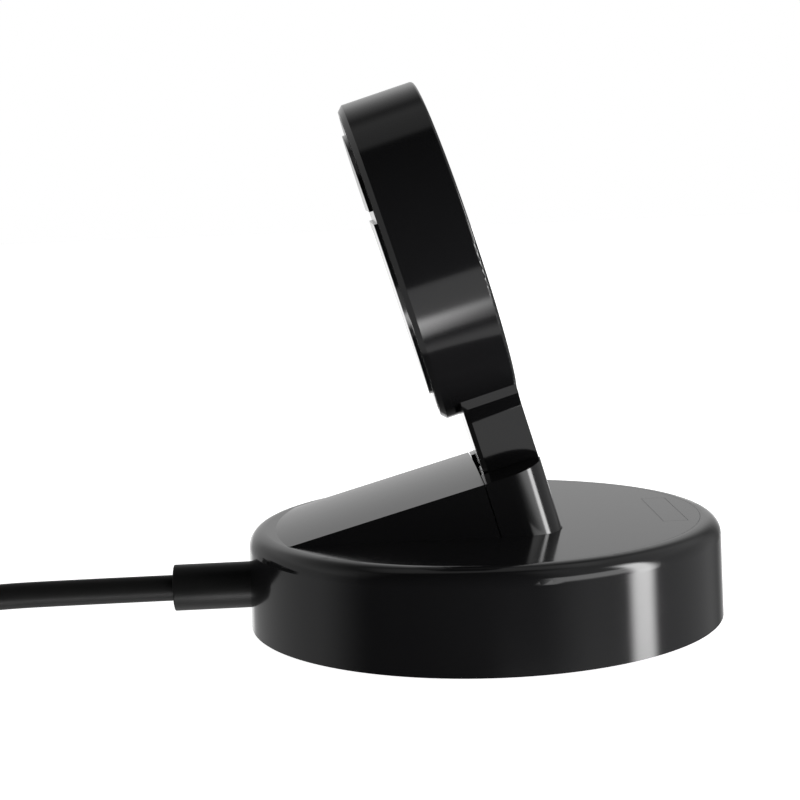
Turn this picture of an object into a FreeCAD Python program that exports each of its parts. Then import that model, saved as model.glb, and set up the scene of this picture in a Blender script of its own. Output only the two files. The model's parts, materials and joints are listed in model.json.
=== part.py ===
"""Smartwatch charging stand: a weighted round base with a ramp, a tilting neck and a round magnetic charging head.

Millimetres, +Z up, +X to the front (the side the watch faces), origin on the floor under the centre of the base.
The base pieces are drawn in that frame. The head and neck pieces are drawn in the head's frame: its origin is the
centre of the round head, its Z the head's axis towards the watch, its X down the head towards the neck and its Y
the stand's Y. The hinge cover is drawn in the ramp's frame: X up the ramp, Z square to it.
"""
import FreeCAD, Part
import Sketcher
import math
import os
import re
from FreeCAD import Placement, Rotation, Vector

DIMENSIONS = {
    # base housing
    "housing_bottom": 0.4, "bottom_radius": 25.6, "top_radius": 25.45, "deck_top": 10.85, "rim_radius": 1.8,
    "recess_radius": 23.3, "plate_thick": 0.8, "deck_thick": 1.2, "inner_top": 23.9, "inner_bottom": 24.05,
    # ramp and hinge cover
    "ramp_angle": 15.3, "ramp_height": 16.54, "ramp_half": 10.95, "crown": 0.45, "crown_radius": 133.4,
    "shell_wall": 1.2, "ramp_rear": -20.8,
    "seam_at": -0.62, "seam_gap": 0.1, "nose_front": 5.9, "nose_corner": 3.9, "slot_half": 6.8,
    "slot_depth": 5.6, "barrel_room": 3.3, "hollow_rear": -17.0, "hollow_front": 6.3,
    # status window
    "window_front": 21.15, "window_rear": 18.5, "window_half": 6.6,
    # underside
    "foot_inner": 18.9, "foot_outer": 23.5, "cover_radius": 23.9, "cover_bottom": 0.6, "cover_top": 1.9,
    "boss_circle": 21.2, "boss_radius": 1.9, "screw_radius": 0.7, "screw_head": 1.4, "screw_head_high": 0.7,
    "ballast_radius": 19.0, "ballast_hole": 4.0, "ballast_top": 4.9,
    # cable exit
    "cable_height": 4.65, "cable_dia": 2.8, "relief_radius": 2.5, "relief_end": -33.8, "relief_waist": 2.1,
    # head
    "head_x": -5.117, "head_height": 39.83, "lean": 16.4, "head_radius": 17.5, "head_front": 4.3,
    "shell_rear": -4.1, "rear_bevel": 0.55, "head_rear": -4.15, "wall_radius": 16.3, "face_radius": 16.0,
    "face_seat": 3.4, "front_plate_rear": 2.4, "badge_radius": 14.45, "badge_rear": -4.5,
    # neck and hinge
    "neck_depth": 6.0, "axis_down": 27.25, "axis_forward": 1.155, "barrel_radius": 3.0, "foot_half": 6.5,
    "cradle_half": 8.4, "lip_down": 16.3, "lip_half": 8.3, "flare_down": 18.15, "flare_half": 7.1,
    "stem_down": 23.05, "screw_seat": 15.2, "pin_radius": 1.0, "pin_hole": 1.05, "ear_inner": 6.85, "ear_thick": 1.0,
    "ear_radius": 2.1, "bracket_bottom": 6.9, "bracket_top": 7.9, "washer_radius": 1.7, "nut_radius": 1.75,
    "nut_thick": 0.6, "pin_end": 8.85, "lead_radius": 0.75, "lead_forward": -0.4,
}
REAR_BEVEL = 0.5
TIE_THICK = 0.5
COIL_X, COIL_Y = -80.0, 19.0
COIL_RADIUS = 15.5
COIL_WIDE, COIL_HIGH = 11.2, 8.4

doc = FreeCAD.newDocument("WatchStand")
sheet = doc.addObject("Spreadsheet::Sheet", "Dims")
for row, (alias, value) in enumerate(DIMENSIONS.items(), start=1):
    sheet.set(f"A{row}", alias)
    sheet.set(f"B{row}", str(value))
    sheet.setAlias(f"B{row}", alias)
doc.recompute()
nodes = []


def size(alias):
    """The present value of one cell of the sheet."""
    return float(sheet.get(alias))


def bound(text):
    """An expression in alias names as FreeCAD's own expression on the sheet."""
    return re.sub(r"[a-z][a-z_]*[a-z]", lambda m: f"Dims.{m[0]}" if m[0] in DIMENSIONS else m[0], str(text))


def number(text):
    """The value of an expression of sums and products, to start a sketch near its final shape."""
    total = 0.0
    for sign, term in re.findall(r"([+-]?)\s*([^+-]+)", str(text)):
        product = 1.0
        for operator, factor in re.findall(r"([*/]?)\s*([\w.]+)", term):
            amount = size(factor) if factor in DIMENSIONS else float(factor)
            product = product / amount if operator == "/" else product * amount
        total += -product if sign == "-" else product
    return total


def bind(thing, **expressions):
    for prop, text in expressions.items():
        thing.setExpression(prop, bound(text))
    return thing


def at(thing, x=0, y=0, z=0, turn=None):
    """Places an object, with its position bound to the sheet."""
    thing.Placement = Placement(Vector(0, 0, 0), turn or Rotation())
    for axis, text in zip("xyz", (x, y, z)):
        thing.setExpression(f"Placement.Base.{axis}", bound(text))
    return thing


ALONG_X = Rotation(Vector(0, 1, 0), 90)
ALONG_Y = Rotation(Vector(1, 0, 0), -90)


def box(x0, x1, y0, y1, z0, z1):
    made = doc.addObject("Part::Box", "Box")
    bind(made, Length=f"({x1})-({x0})", Width=f"({y1})-({y0})", Height=f"({z1})-({z0})")
    return at(made, x0, y0, z0)


def rod(radius, start, end, x=0, y=0, z=0, along="z"):
    """A cylinder from start to end along one axis."""
    made = doc.addObject("Part::Cylinder", "Rod")
    bind(made, Radius=radius, Height=f"({end})-({start})")
    if along == "x":
        return at(made, start, y, z, ALONG_X)
    if along == "y":
        return at(made, x, start, z, ALONG_Y)
    return at(made, x, y, start)


def fuse(*shapes):
    made = doc.addObject("Part::MultiFuse", "Joined")
    made.Shapes = list(shapes)
    made.Refine = True
    return made


def group(*shapes):
    """Separate identical pieces in one node."""
    made = doc.addObject("Part::Compound", "Group")
    made.Links = list(shapes)
    return made


def cut(base, *tools):
    made = doc.addObject("Part::Cut", "Trimmed")
    made.Base = base
    made.Tool = tools[0] if len(tools) == 1 else fuse(*tools)
    return made


def common(base, tool):
    made = doc.addObject("Part::Common", "Shared")
    made.Base = base
    made.Tool = tool
    return made


def ring(outer, inner, start, end, **where):
    return cut(rod(outer, start, end, **where), rod(inner, f"({start})-1", f"({end})+1", **where))


def framed(thing):
    """Keeps a primitive's own place when it is moved into another frame."""
    return group(thing) if thing.TypeId in ("Part::Box", "Part::Cylinder") else thing


def in_head(thing):
    """Places a piece drawn in the head's frame."""
    thing = framed(thing)
    at(thing, "head_x", 0, "head_height", Rotation(Vector(0, 1, 0), 90))
    thing.setExpression("Placement.Rotation.Angle", bound("90 - lean"))
    return thing


def in_ramp(thing):
    """Places a piece drawn in the ramp's frame."""
    thing = framed(thing)
    at(thing, 0, 0, "ramp_height", Rotation(Vector(0, -1, 0), 15))
    thing.setExpression("Placement.Rotation.Angle", bound("ramp_angle"))
    return thing


def node(label, thing):
    """Registers a finished sub-part under the name of its file."""
    thing.Label = label
    nodes.append((label, thing))
    return thing


def body_sketch(body, role, points, arcs=None):
    """A closed outline on one of the body's planes, each corner bound to the sheet.

    points holds (x, y) expressions, anticlockwise. arcs gives, for the side that starts at a corner, the radius of
    its arc, negative where the arc is hollow.
    """
    arcs = arcs or {}
    sketch = body.newObject("Sketcher::SketchObject", "Outline")
    plane = [f for f in body.Origin.OriginFeatures if f.Role == role][0]
    sketch.AttachmentSupport = [(plane, "")]
    sketch.MapMode = "FlatFace"
    corners = [Vector(number(x), number(y), 0) for x, y in points]
    count = len(corners)
    for i, start in enumerate(corners):
        end = corners[(i + 1) % count]
        if i in arcs:
            radius = number(arcs[i])
            chord = end - start
            half = chord.Length / 2
            side = Vector(chord.y, -chord.x, 0).normalize() * (1 if radius > 0 else -1)
            bulge = abs(radius) - math.sqrt(radius * radius - half * half)
            sketch.addGeometry(Part.Arc(start, (start + end) / 2 + side * bulge, end), False)
        else:
            sketch.addGeometry(Part.LineSegment(start, end), False)
    first = {}
    last = {}
    for i, start in enumerate(corners):
        near = sketch.getPoint(i, 1).distanceToPoint(start) < 1e-6
        first[i], last[i] = (1, 2) if near else (2, 1)
    for i in range(count):
        after = (i + 1) % count
        sketch.addConstraint(Sketcher.Constraint("Coincident", i, last[i], after, first[after]))
    for i, (x, y) in enumerate(points):
        for kind, text in (("DistanceX", x), ("DistanceY", y)):
            name = f"{kind[-1].lower()}{i}"
            place = sketch.addConstraint(Sketcher.Constraint(kind, -1, 1, i, first[i], number(text)))
            sketch.renameConstraint(place, name)
            sketch.setExpression(f"Constraints.{name}", bound(text))
    for i, text in arcs.items():
        place = sketch.addConstraint(Sketcher.Constraint("Radius", i, abs(number(text))))
        sketch.renameConstraint(place, f"radius{i}")
        sketch.setExpression(f"Constraints.radius{i}", bound(text.lstrip("-")))
    return sketch


def revolved(points, arcs=None):
    """A PartDesign body turned about Z from its half outline in the XZ plane."""
    body = doc.addObject("PartDesign::Body", "Turned")
    sketch = body_sketch(body, "XZ_Plane", points, arcs)
    turn = body.newObject("PartDesign::Revolution", "Revolution")
    turn.Profile = sketch
    turn.ReferenceAxis = (sketch, ["V_Axis"])
    turn.Angle = 360
    doc.recompute()
    return body


def padded(role, points, length, offset=0, middle=False, arcs=None):
    """A PartDesign body pushed out of an outline, from an offset plane or both ways."""
    body = doc.addObject("PartDesign::Body", "Pushed")
    sketch = body_sketch(body, role, points, arcs)
    sketch.setExpression("AttachmentOffset.Base.z", bound(offset))
    pad = body.newObject("PartDesign::Pad", "Pad")
    pad.Profile = sketch
    pad.setExpression("Length", bound(length))
    if middle:
        pad.Midplane = True
    doc.recompute()
    return body


# ---------------------------------------------------------------- base


def base_housing():
    """The moulded shell: side wall, rounded rim, deck with a recess, and the hollow ramp behind the hinge."""
    deck = "deck_top - plate_thick"
    under = "deck_top - plate_thick - deck_thick"
    shell = revolved([("bottom_radius", "housing_bottom"), ("top_radius", "deck_top - rim_radius"),
                      ("top_radius - rim_radius", "deck_top"), ("recess_radius", "deck_top"),
                      ("recess_radius", deck), ("0", deck), ("0", under), ("inner_top", under),
                      ("inner_bottom", "housing_bottom")], arcs={1: "rim_radius"})
    ramp = in_ramp(common(box("-40", "seam_at", "-ramp_half", "ramp_half", "-9", "crown"), crown_rod()))
    floor_up = box("-recess_radius - 0.2", "5", "-ramp_half", "ramp_half", f"{deck} - 0.4", "40")
    ramp = common(common(ramp, floor_up), rod("recess_radius + 0.1", 0, 40))
    rear_step = common(box("-recess_radius - 0.3", "ramp_rear + 1", "-ramp_half", "ramp_half", f"{deck} - 0.4",
                           "deck_top"), rod("recess_radius + 0.1", 0, 20))
    bosses = []
    for x, y in base_screw_places():
        bosses.append(rod("boss_radius", "cover_top", f"{under} + 0.3", x=x, y=y))
    for x, y in bracket_screw_places():
        bosses.append(rod("1.5", "bracket_top", f"{under} + 0.3", x=x, y=y))
    for x, y in board_screw_places():
        bosses.append(rod("1.5", "6.7", f"{under} + 0.3", x=x, y=y))
    solid = fuse(shell, ramp, rear_step, *bosses)
    hollow_top = in_ramp(box("-40", "8", "-ramp_half + shell_wall", "ramp_half - shell_wall", "-12", "-shell_wall"))
    hollow = common(hollow_top, box("hollow_rear", "hollow_front", "-ramp_half + shell_wall",
                                    "ramp_half - shell_wall", f"{under} - 1", "30"))
    window_way = box("window_rear", "window_front", "-window_half", "window_half", f"{under} - 1", "deck_top")
    cable_way = rod("relief_waist", "-27", "-22", z="cable_height", along="x")
    holes = [rod("0.72", "1", "6.2", x=x, y=y) for x, y in base_screw_places()]
    holes += [rod("0.62", "7", "9.6", x=x, y=y) for x, y in bracket_screw_places()]
    holes += [rod("0.62", "6", "8.6", x=x, y=y) for x, y in board_screw_places()]
    return node("base_housing", cut(solid, hollow, window_way, cable_way, *holes))


def base_screw_places():
    quarter = [(1, 1), (-1, 1), (-1, -1), (1, -1)]
    return [(f"boss_circle * {0.70711 * x}", f"boss_circle * {0.70711 * y}") for x, y in quarter]


def bracket_screw_places():
    return [(x, y) for x in ("0.8", "6.2") for y in ("-11.4", "11.4")]


def board_screw_places():
    return [("-11", y) for y in ("-11.3", "11.3")]


def top_plate():
    """The glossy deck inlay, cut round the ramp and the hinge cover, with the opening for the status window."""
    deck = "deck_top - plate_thick"
    disc = rod("recess_radius - 0.03", deck, "deck_top")
    ramp_room = box("-30", "2", "-ramp_half - 0.06", "ramp_half + 0.06", "0", "30")
    nose_room = in_ramp(nose_prism(0.06, -12, 2))
    window = box("window_rear", "window_front", "-window_half", "window_half", "0", "30")
    return node("top_plate", cut(disc, ramp_room, nose_room, window))


def status_window():
    gap = "0.04"
    deck = "deck_top - plate_thick"
    return node("status_window", box(f"window_rear + {gap}", f"window_front - {gap}", f"-window_half + {gap}",
                                     f"window_half - {gap}", deck, "deck_top"))


def status_light():
    """A light guide under the window and its three lamps on a small board."""
    guide = box("window_rear + 0.5", "window_front - 0.5", "-window_half + 0.5", "window_half - 0.5", "7.7",
                "deck_top - plate_thick")
    node("light_guide", guide)
    node("lamp_board", box("16.5", "22.5", "-4.5", "4.5", "6.2", "7"))
    lamps = [box("19.3", "20.3", f"{y} - 0.8", f"{y} + 0.8", "7", "7.6") for y in (-3.2, 0, 3.2)]
    node("status_lamps", group(*lamps))


def underside():
    """The bottom cover, its screws, the ring-shaped foot that hides them and the blank rating label."""
    cover = rod("cover_radius", "cover_bottom", "cover_top")
    ways = [rod("0.75", "0", "3", x=x, y=y) for x, y in base_screw_places()]
    seats = [rod("screw_head + 0.05", "0", "cover_bottom + screw_head_high", x=x, y=y)
             for x, y in base_screw_places()]
    node("bottom_cover", cut(cover, *ways, *seats))
    node("foot_ring", ring("foot_outer", "foot_inner", "0", "cover_bottom"))
    node("rating_label", rod("14", "cover_bottom - 0.1", "cover_bottom"))
    screws = [fuse(rod("screw_head", "cover_bottom", "cover_bottom + screw_head_high", x=x, y=y),
                   rod("screw_radius", "cover_bottom + 0.3", "6", x=x, y=y)) for x, y in base_screw_places()]
    node("bottom_cover_screws", group(*screws))


def ballast():
    """The steel weight that keeps the stand from tipping, notched for the cable."""
    weight = ring("ballast_radius", "ballast_hole", "cover_top", "ballast_top")
    notch = box("-30", "-8", "-3.6", "3.6", "0", "10")
    node("ballast_weight", cut(weight, notch))


def base_board():
    """The charging board, its larger components and the two screws that hold it under the deck."""
    board = box("-16", "-6", "-12.5", "12.5", "5.9", "6.7")
    ways = [rod("0.65", "5", "7", x=x, y=y) for x, y in board_screw_places()]
    node("base_board", cut(board, *ways))
    node("controller_chip", box("-14", "-9", "-7", "-2", "6.7", "7.6"))
    node("power_inductor", cut(box("-14.5", "-9.5", "3.5", "8.5", "6.7", "8.7"),
                               ring("2.2", "1.6", "8.4", "9", x="-12", y="6")))
    node("capacitors", group(*[rod("0.9", "6.7", "8.5", x="-7.3", y=y) for y in ("-8", "-5.6", "5.6", "8")]))
    node("base_socket", box("-8.6", "-6.2", "-2", "2", "6.7", "8.5"))
    screws = [fuse(rod("1.1", "5.2", "5.9", x=x, y=y), rod("0.6", "5.5", "8.4", x=x, y=y))
              for x, y in board_screw_places()]
    node("base_board_screws", group(*screws))


def hinge_bracket():
    """The steel bracket under the deck whose two ears carry the hinge pins."""
    plate = box("-1", "8", "-12.9", "12.9", "bracket_bottom", "bracket_top")
    ears = []
    for low, high in (("ear_inner", "ear_inner + ear_thick"), ("-ear_inner - ear_thick", "-ear_inner")):
        leg = box(f"{HINGE_X} - ear_radius", f"{HINGE_X} + ear_radius", low, high, "bracket_bottom + 0.2",
                  str(HINGE_Z))
        ears += [leg, rod("ear_radius", low, high, x=HINGE_X, z=HINGE_Z, along="y")]
    pin_way = rod("pin_hole", "-10", "10", x=HINGE_X, z=HINGE_Z, along="y")
    ways = [rod("0.65", "5", "9", x=x, y=y) for x, y in bracket_screw_places()]
    node("hinge_bracket", cut(fuse(plate, *ears), pin_way, *ways))
    screws = [fuse(rod("1.15", "6.2", "bracket_bottom", x=x, y=y), rod("0.6", "6.5", "9.4", x=x, y=y))
              for x, y in bracket_screw_places()]
    node("hinge_bracket_screws", group(*screws))


def crown_rod():
    """The wide cylinder whose top gives the ramp and the hinge cover their slight crown."""
    return rod("crown_radius", "-41", "12", z="crown - crown_radius", along="x")


def nose_prism(grow, low, high):
    """The rounded block at the top of the ramp, in the ramp's frame, grown or shrunk all round."""
    more, less = ("+", "-") if grow >= 0 else ("-", "+")
    grow = abs(grow)
    front, half = f"nose_front {more} {grow}", f"ramp_half {more} {grow}"
    right = f"0 - ramp_half {less} {grow}"
    turn = f"nose_corner {more} {grow}"
    outline = [("-3", right), ("nose_front - nose_corner", right), (front, "0 - ramp_half + nose_corner"),
               (front, "ramp_half - nose_corner"), ("nose_front - nose_corner", half), ("-3", half)]
    return padded("XY_Plane", outline, f"{high - low}", offset=f"{low}", arcs={1: turn, 3: turn})


def hinge_cover():
    """The rounded cap over the hinge, slotted for the neck and open in front down to the barrel."""
    outer = common(nose_prism(0, -12, 1), box("seam_at + seam_gap", "20", "-20", "20", "-20", "5"))
    outer = common(outer, crown_rod())
    hollow = nose_prism(-1.2, -14, -1.2)
    slot = box("-3", "9", "-slot_half", "slot_half", "-slot_depth", "3")
    barrel_way = rod("barrel_room", "-slot_half", "slot_half", x=HINGE_UP_RAMP, z=HINGE_OFF_RAMP, along="y")
    ear_room, nut_room = [rod(radius, f"-{reach}", reach, x=HINGE_UP_RAMP, z=HINGE_OFF_RAMP, along="y")
                          for radius, reach in (("ear_radius + 0.2", "8"), ("nut_radius + 0.2", "8.95"))]
    cap = in_ramp(cut(outer, hollow, slot, barrel_way, ear_room, nut_room))
    node("hinge_cover", cut(cap, box("-20", "20", "-20", "20", "-5", "deck_top - plate_thick")))


def strain_relief():
    """The straight rubber collar, its waist in the housing wall and its flange inside."""
    wall_out, wall_in = "-25.45", "-24.1"
    collar = rod("relief_radius", "relief_end", wall_out, z="cable_height", along="x")
    waist = rod("relief_waist - 0.02", "relief_end + 1", "-22.4", z="cable_height", along="x")
    flange = common(rod("2.7", "-24.4", "-22.4", z="cable_height", along="x"), rod("24", "0", "20"))
    trimmed = cut(fuse(collar, waist, flange), rod("cable_dia / 2", "relief_end - 1", "relief_end + 0.6",
                  z="cable_height", along="x"))
    node("strain_relief", trimmed)
    node("cable_tail", rod("1", "-22.4", "-10", z="cable_height", along="x"))
    clamp = cut(box("-20.5", "-17.5", "-2.6", "2.6", "cover_top", "cable_height + 1.1"),
                rod("1.02", "-21", "-17", z="cable_height", along="x"))
    node("cable_clamp", clamp)


# ---------------------------------------------------------------- neck and hinge


def neck():
    """The cast neck: a cradle for the round head, flared sides, a tapered stem and the hinge barrel."""
    rear = "axis_forward - neck_depth / 2"
    cradle_down = str(round(math.sqrt(size("head_radius") ** 2 - size("cradle_half") ** 2), 3))
    left = [(cradle_down, "cradle_half"), ("lip_down", "lip_half"), ("flare_down", "flare_half"),
            ("stem_down", "foot_half"), ("axis_down", "foot_half")]
    outline = [(down, f"0 - {half}") for down, half in left] + left[::-1]
    stem = padded("XY_Plane", outline, "neck_depth", offset=rear,
                  arcs={1: "-2.6", 7: "-2.6", 9: "-head_radius"})
    rear_plane = number(rear)
    bevel = doc.addObject("Part::Chamfer", "RearBevel")
    bevel.Base = stem
    bevel.Edges = [(i, REAR_BEVEL, REAR_BEVEL) for i, edge in enumerate(stem.Shape.Edges, start=1)
                   if edge.BoundBox.ZMax < rear_plane + 1e-3 and edge.BoundBox.XMin > size("lip_down") - 0.05
                   and edge.BoundBox.XLength > 0.5]
    doc.recompute()
    barrel = rod("barrel_radius", "-foot_half", "foot_half", x="axis_down", z="axis_forward", along="y")
    ways = [rod("pin_radius", low, high, x="axis_down", z="axis_forward", along="y")
            for low, high in (("2.95", "8"), ("-8", "-2.95"))]
    ways.append(rod("0.95", "16", "31", z="lead_forward", along="x"))
    ways += [rod("0.68", "16", "22.4", y=y, z="-0.55", along="x") for y in ("-4.5", "4.5")]
    node("neck", in_head(cut(fuse(bevel, barrel), *ways)))
    screws = [fuse(rod("1.2", "screw_seat - 0.8", "screw_seat", y=y, z="-0.55", along="x"),
                   rod("0.65", "screw_seat - 0.3", "22", y=y, z="-0.55", along="x")) for y in ("-4.5", "4.5")]
    node("neck_screws", in_head(group(*screws)))


def hinge_pins():
    """Two stub axles that turn with the neck, one with a head and one drawn up by a nut and a spring washer."""
    place = dict(x="axis_down", z="axis_forward", along="y")
    ear_out = "ear_inner + ear_thick"
    node("hinge_pin_nut_side", in_head(rod("pin_radius", "3", "pin_end", **place)))
    head = rod("washer_radius", "-8.6", "-ear_inner - ear_thick - 0.03", **place)
    node("hinge_pin_head_side", in_head(fuse(head, rod("pin_radius", "-8", "-3", **place))))
    washers = [ring("2.2", "pin_radius", low, high, **place)
               for low, high in (("foot_half + 0.02", "ear_inner - 0.03"), ("-ear_inner + 0.03", "-foot_half - 0.02"))]
    node("friction_washers", in_head(group(*washers)))
    node("spring_washer", in_head(ring("washer_radius", "pin_radius", f"{ear_out} + 0.03", f"{ear_out} + 0.3",
                                       **place)))
    hexagon = doc.addObject("Part::RegularPolygon", "Hexagon")
    bind(hexagon, Circumradius="nut_radius")
    at(hexagon, "axis_down", f"{ear_out} + 0.32", "axis_forward", ALONG_Y)
    block = doc.addObject("Part::Extrusion", "Block")
    block.Base = hexagon
    block.DirMode = "Normal"
    bind(block, LengthFwd="nut_thick")
    block.Solid = True
    node("hinge_nut", in_head(cut(block, rod("pin_radius", "5", "12", **place))))


def leads():
    """The lead down the neck and, since it flexes at the hinge, its base half as a piece of its own."""
    node("head_lead", in_head(rod("lead_radius", "10.85", "30.35", z="lead_forward", along="x")))
    route = [Vector(3.4, 0, 9.2), Vector(0.2, 0, 8.7), Vector(-2.6, 0, 9.1), Vector(-5.9, 0, 7.95)]
    made = doc.addObject("Part::Feature", "BaseLead")
    made.Shape = tube_along(route, size("lead_radius"))[0]
    node("base_lead", made)


# ---------------------------------------------------------------- head


def head_shell():
    shell = revolved([("head_radius - rear_bevel", "shell_rear"), ("head_radius", "shell_rear + rear_bevel"),
                      ("head_radius", "head_front - 0.35"), ("head_radius - 0.35", "head_front"),
                      ("face_radius", "head_front"), ("face_radius", "face_seat"), ("0", "face_seat"),
                      ("0", "front_plate_rear"), ("wall_radius", "front_plate_rear"), ("wall_radius", "shell_rear")],
                     arcs={2: "0.35"})
    posts = []
    for x, y in cover_screw_places():
        outward = 1 + 2.6 / 13
        web = Vector(float(x), float(y), 0)
        posts.append(rod("1.6", "-2.7", "0.4", x=x, y=y))
        posts.append(rod("1.6", "-2.7", "0.4", x=web.x * outward, y=web.y * outward))
    pads = [rod("1.6", "screw_seat", "17.2", y=y, z="-0.55", along="x") for y in ("-4.5", "4.5")]
    ways = [rod("0.72", "-4", "-0.3", x=x, y=y) for x, y in cover_screw_places()]
    ways += [rod("0.7", "15", "19", y=y, z="-0.55", along="x") for y in ("-4.5", "4.5")]
    ways.append(rod("0.95", "15", "19", z="lead_forward", along="x"))
    trimmed_posts = common(fuse(*posts, *pads), rod("wall_radius + 0.2", "-3", "2"))
    node("head_shell", in_head(cut(fuse(shell, trimmed_posts), *ways)))


def cover_screw_places():
    return [(round(13 * math.cos(math.radians(a)), 3), round(13 * math.sin(math.radians(a)), 3))
            for a in (50, 180, 310)]


def head_covers():
    """The soft charging face, the rear cover, its screws, and the two thin plates over them."""
    node("charging_face", in_head(rod("face_radius - 0.03", "face_seat", "head_front - 0.05")))
    cover = rod("wall_radius - 0.05", "head_rear", "-2.7")
    ways = [rod("0.75", "-5", "-2", x=x, y=y) for x, y in cover_screw_places()]
    seats = [rod("1.35", "-5", "-3.5", x=x, y=y) for x, y in cover_screw_places()]
    node("head_rear_cover", in_head(cut(cover, *ways, *seats)))
    screws = [fuse(rod("1.3", "head_rear + 0.02", "-3.5", x=x, y=y), rod("0.7", "-3.7", "-0.4", x=x, y=y))
              for x, y in cover_screw_places()]
    node("rear_cover_screws", in_head(group(*screws)))
    plate = dict(y0="-16", y1="16", z0="-6", z1="0")
    for label, low, high in (("rear_plate_upper", "-16", "-6.15"), ("rear_plate_lower", "-4.85", "16")):
        disc = rod("badge_radius", "badge_rear", "head_rear")
        node(label, in_head(common(disc, box(low, high, **plate))))


def head_electronics():
    """What the charging head holds: coil, ferrite, magnets and a small board."""
    node("ferrite_disc", in_head(rod("13.2", "0.55", "1.05")))
    coil = ring("12.8", "4.6", "1.1", "2.1")
    grooves = [ring(f"{radius} + 0.15", f"{radius} - 0.15", "1.9", "3") for radius in (6, 7.4, 8.8, 10.2, 11.6)]
    node("charging_coil", in_head(cut(coil, *grooves)))
    node("centre_magnet", in_head(rod("3.6", "1.1", "2.3")))
    magnets = []
    for step in range(12):
        magnet = common(ring("16.2", "13.7", "1", "2.2"), box("12", "17", "-3.2", "3.2", "0", "4"))
        at(magnet, 0, 0, 0, Rotation(Vector(0, 0, 1), 15 + 30 * step))
        magnets.append(magnet)
    node("magnet_segments", in_head(group(*magnets)))
    node("head_board", in_head(cut(rod("10.8", "-1.9", "-1.1"), box("-12", "-9.5", "-2", "2", "-3", "0"))))
    node("head_socket", in_head(box("8.4", "10.8", "-2", "2", "-1.1", "0.4")))
    chips = [box("-3", "1", "-2", "2", "-1.1", "-0.3"), box("-4", "-2", "4", "6.5", "-1.1", "-0.5"),
             box("2", "5", "-6.5", "-4.5", "-1.1", "-0.4")]
    node("head_components", in_head(group(*chips)))


# ---------------------------------------------------------------- cable


def tube_along(route, radius):
    """A tube along straight runs joined by tangent arcs, each as large as its two runs allow."""
    edges, radii = [], []
    start = route[0]
    for before, corner, after in zip(route, route[1:], route[2:]):
        back, ahead = (before - corner), (after - corner)
        turn = math.pi - back.getAngle(ahead)
        run = 0.45 * min(back.Length, ahead.Length)
        radii.append(run / math.tan(turn / 2))
        back.normalize()
        ahead.normalize()
        enter, leave = corner + back * run, corner + ahead * run
        inward = (back + ahead).normalize()
        bend = radii[-1]
        middle = corner + inward * (bend / math.cos(turn / 2) - bend)
        edges.append(Part.LineSegment(start, enter).toShape())
        edges.append(Part.Arc(enter, middle, leave).toShape())
        start = leave
    edges.append(Part.LineSegment(start, route[-1]).toShape())
    path = Part.Wire(edges)
    heading = (route[1] - route[0]).normalize()
    section = Part.Wire(Part.makeCircle(radius, route[0], heading))
    tube = path.makePipeShell([section], True, True)
    length = sum(edge.Length for edge in edges)
    filled = tube.Volume / (math.pi * radius ** 2 * length)
    print(f"tube: length {length:.1f} mm, volume over section times length {filled:.4f}")
    print("      radii in diameters:", " ".join(f"{bend / (2 * radius):.1f}" for bend in radii))
    return tube, length


def cable():
    """The lead: the stretch from the strain relief, the put-away coil, its tie, and the plug lying on the coil."""
    bore = size("cable_dia") / 2
    exit_z = size("cable_height")
    route = [Vector(size("relief_end") + 0.6, 0, exit_z), Vector(-44, 0, exit_z), Vector(-54.5, -0.3, 4.2),
             Vector(-64, -0.5, 2.6), Vector(-73, 0.1, 1.9 + TIE_THICK), Vector(-80, 0.6, 1.9 + TIE_THICK)]
    made = doc.addObject("Part::Feature", "Cable")
    made.Shape = tube_along(route, bore)[0]
    node("usb_cable", made)
    inner, outer = COIL_RADIUS - COIL_WIDE / 2, COIL_RADIUS + COIL_WIDE / 2
    low, high = TIE_THICK, TIE_THICK + COIL_HIGH
    bundle = revolved([(str(outer - 1.4), str(low)), (str(outer), str(low + 1.4)), (str(outer), str(high - 1.4)),
                       (str(outer - 1.4), str(high)), (str(inner + 1.4), str(high)), (str(inner), str(high - 1.4)),
                       (str(inner), str(low + 1.4)), (str(inner + 1.4), str(low))],
                      arcs={0: "1.4", 2: "1.4", 4: "1.4", 6: "1.4"})
    node("cable_coil", at(bundle, COIL_X, COIL_Y, 0))
    tie_y0, tie_y1 = str(COIL_Y - 2.5), str(COIL_Y + 2.5)
    band = box(COIL_X + inner - TIE_THICK, COIL_X + outer + TIE_THICK, tie_y0, tie_y1, "0", high + TIE_THICK)
    room = box(COIL_X + inner, COIL_X + outer, "0", "60", low, high)
    node("cable_tie", cut(band, room))


def plug():
    """The connector at the end of the lead, lying on the coil: grip, metal shell and tongue."""
    rest_z = TIE_THICK + COIL_HIGH
    bore = size("cable_dia") / 2
    x, z = COIL_X - 14, rest_z + 3.1
    y0 = COIL_Y + 3
    route = [Vector(COIL_X - 5.4, COIL_Y - 16.4, rest_z - 1.4), Vector(COIL_X - 10.95, COIL_Y - 11.35, rest_z + 0.9),
             Vector(x, COIL_Y - 4.5, rest_z + 2.6), Vector(x, y0, z)]
    made = doc.addObject("Part::Feature", "CableEnd")
    made.Shape = tube_along(route, bore)[0]
    node("cable_end", made)
    grip = box(x - 5, x + 5, y0, y0 + 17, z - 3.1, z + 3.1)
    rounded = doc.addObject("Part::Fillet", "Rounded")
    rounded.Base = grip
    doc.recompute()
    rounded.Edges = [(i, 1.6, 1.6) for i, edge in enumerate(grip.Shape.Edges, start=1) if edge.BoundBox.YLength > 10]
    node("plug_grip", rounded)
    shell = slot_prism(x, z, 8.34, 2.56, y0 + 17, y0 + 23.6)
    inside = slot_prism(x, z, 7.6, 1.8, y0 + 18, y0 + 25)
    node("plug_shell", cut(shell, inside))
    node("plug_tongue", box(x - 3.3, x + 3.3, y0 + 18, y0 + 22.8, z - 0.35, z + 0.35))


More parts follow.
